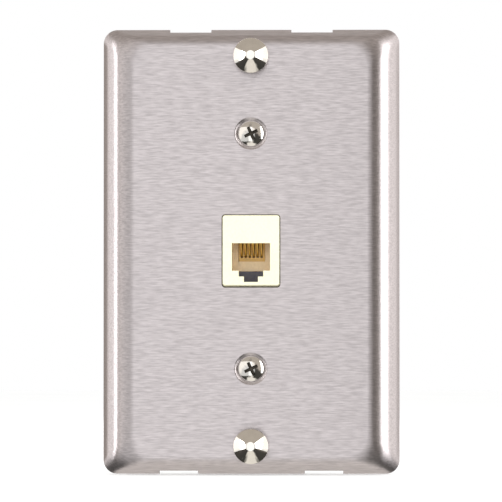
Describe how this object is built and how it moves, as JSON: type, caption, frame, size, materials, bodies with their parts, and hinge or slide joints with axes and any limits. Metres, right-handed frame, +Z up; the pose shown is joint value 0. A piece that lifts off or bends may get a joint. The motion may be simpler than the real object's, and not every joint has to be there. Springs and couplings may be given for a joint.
{
  "type": "wall telephone jack plate",
  "caption": "Brushed steel wall plate with a modular telephone jack and conical studs that a wall telephone hangs on.",
  "frame": {"origin": "middle of the plate on the wall plane, which is the mounting strap's back face", "axes": "-Y out of the wall towards the user, +Z up, +X to the right as the user faces the plate"},
  "size_m": [0.0762, 0.0295, 0.1142],
  "materials": {
    "brushed_stainless": "horizontal brushed grain",
    "nickel_stud": "bright nickel plate",
    "nickel_screw": "bright nickel plate",
    "zinc_bracket": "zinc plated, satin",
    "zinc_strap": "zinc plated, satin",
    "zinc_screw": "zinc plated",
    "ivory_plastic": "moulded, slightly glossy",
    "carrier_plastic": "moulded, translucent amber",
    "gold_wire": "gold flash over bronze",
    "tinned_ferrule": "tin plated",
    "tinned_lug": "tin plated",
    "dark_block": "moulded, satin",
    "steel_screw": "nickel plated",
    "terminal_brass": "satin",
    "white_lead": "soft PVC sleeve",
    "black_lead": "soft PVC sleeve",
    "red_lead": "soft PVC sleeve",
    "green_lead": "soft PVC sleeve",
    "yellow_lead": "soft PVC sleeve",
    "blue_lead": "soft PVC sleeve"
  },
  "bodies": {
    "root": {"face_plate": "brushed_stainless", "upper_stud": "nickel_stud", "lower_stud": "nickel_stud", "jack_bracket": "zinc_bracket", "mounting_strap": "zinc_strap", "jack_housing": "ivory_plastic", "contact_carrier": "carrier_plastic", "contact_legs": "gold_wire", "crimp_ferrules": "tinned_ferrule", "terminal_block": "dark_block", "block_screws": "steel_screw", "terminal_plates": "terminal_brass", "spade_lugs": "tinned_lug", "lead_wire_1": "white_lead", "lead_wire_2": "black_lead", "lead_wire_3": "red_lead", "lead_wire_4": "green_lead", "lead_wire_5": "yellow_lead", "lead_wire_6": "blue_lead"},
    "plate_screw_upper": {"plate_screw_upper": "nickel_screw"},
    "plate_screw_lower": {"plate_screw_lower": "nickel_screw"},
    "box_screw_upper": {"box_screw_upper": "zinc_screw"},
    "box_screw_lower": {"box_screw_lower": "zinc_screw"},
    "terminal_screw_1": {"terminal_screw_1": "steel_screw"},
    "terminal_screw_2": {"terminal_screw_2": "steel_screw"},
    "terminal_screw_3": {"terminal_screw_3": "steel_screw"},
    "terminal_screw_4": {"terminal_screw_4": "steel_screw"},
    "terminal_screw_5": {"terminal_screw_5": "steel_screw"},
    "terminal_screw_6": {"terminal_screw_6": "steel_screw"},
    "contact_spring_1": {"contact_spring_1": "gold_wire"},
    "contact_spring_2": {"contact_spring_2": "gold_wire"},
    "contact_spring_3": {"contact_spring_3": "gold_wire"},
    "contact_spring_4": {"contact_spring_4": "gold_wire"},
    "contact_spring_5": {"contact_spring_5": "gold_wire"},
    "contact_spring_6": {"contact_spring_6": "gold_wire"}
  },
  "joints": [
    {"name": "contact_flex_1", "type": "hinge", "parent": "root", "child": "contact_spring_1", "pos_m": [-0.00255, -0.00425, 0.00189], "axis": [1, 0, 0], "range_deg": [0, 10.5], "stiffness_Nm_per_rad": 0.03},
    {"name": "contact_flex_2", "type": "hinge", "parent": "root", "child": "contact_spring_2", "pos_m": [-0.00153, -0.00425, 0.00189], "axis": [1, 0, 0], "range_deg": [0, 10.5], "stiffness_Nm_per_rad": 0.03},
    {"name": "contact_flex_3", "type": "hinge", "parent": "root", "child": "contact_spring_3", "pos_m": [-0.00051, -0.00425, 0.00189], "axis": [1, 0, 0], "range_deg": [0, 10.5], "stiffness_Nm_per_rad": 0.03},
    {"name": "contact_flex_4", "type": "hinge", "parent": "root", "child": "contact_spring_4", "pos_m": [0.00051, -0.00425, 0.00189], "axis": [1, 0, 0], "range_deg": [0, 10.5], "stiffness_Nm_per_rad": 0.03},
    {"name": "contact_flex_5", "type": "hinge", "parent": "root", "child": "contact_spring_5", "pos_m": [0.00153, -0.00425, 0.00189], "axis": [1, 0, 0], "range_deg": [0, 10.5], "stiffness_Nm_per_rad": 0.03},
    {"name": "contact_flex_6", "type": "hinge", "parent": "root", "child": "contact_spring_6", "pos_m": [0.00255, -0.00425, 0.00189], "axis": [1, 0, 0], "range_deg": [0, 10.5], "stiffness_Nm_per_rad": 0.03},
    {"name": "plate_screw_upper_withdraw", "type": "slide", "parent": "root", "child": "plate_screw_upper", "axis": [0, -1, 0], "range_m": [0, 0.0094]},
    {"name": "plate_screw_lower_withdraw", "type": "slide", "parent": "root", "child": "plate_screw_lower", "axis": [0, -1, 0], "range_m": [0, 0.0094]},
    {"name": "box_screw_upper_turn", "type": "hinge", "parent": "root", "child": "box_screw_upper", "pos_m": [0, 0, 0.04167], "axis": [0, -1, 0], "range_deg": [0, 150]},
    {"name": "box_screw_lower_turn", "type": "hinge", "parent": "root", "child": "box_screw_lower", "pos_m": [0, 0, -0.04167], "axis": [0, -1, 0], "range_deg": [0, 150]},
    {"name": "terminal_screw_1_loosen", "type": "slide", "parent": "root", "child": "terminal_screw_1", "axis": [0, 1, 0], "range_m": [0, 0.003]},
    {"name": "terminal_screw_2_loosen", "type": "slide", "parent": "root", "child": "terminal_screw_2", "axis": [0, 1, 0], "range_m": [0, 0.003]},
    {"name": "terminal_screw_3_loosen", "type": "slide", "parent": "root", "child": "terminal_screw_3", "axis": [0, 1, 0], "range_m": [0, 0.003]},
    {"name": "terminal_screw_4_loosen", "type": "slide", "parent": "root", "child": "terminal_screw_4", "axis": [0, 1, 0], "range_m": [0, 0.003]},
    {"name": "terminal_screw_5_loosen", "type": "slide", "parent": "root", "child": "terminal_screw_5", "axis": [0, 1, 0], "range_m": [0, 0.003]},
    {"name": "terminal_screw_6_loosen", "type": "slide", "parent": "root", "child": "terminal_screw_6", "axis": [0, 1, 0], "range_m": [0, 0.003]}
  ]
}
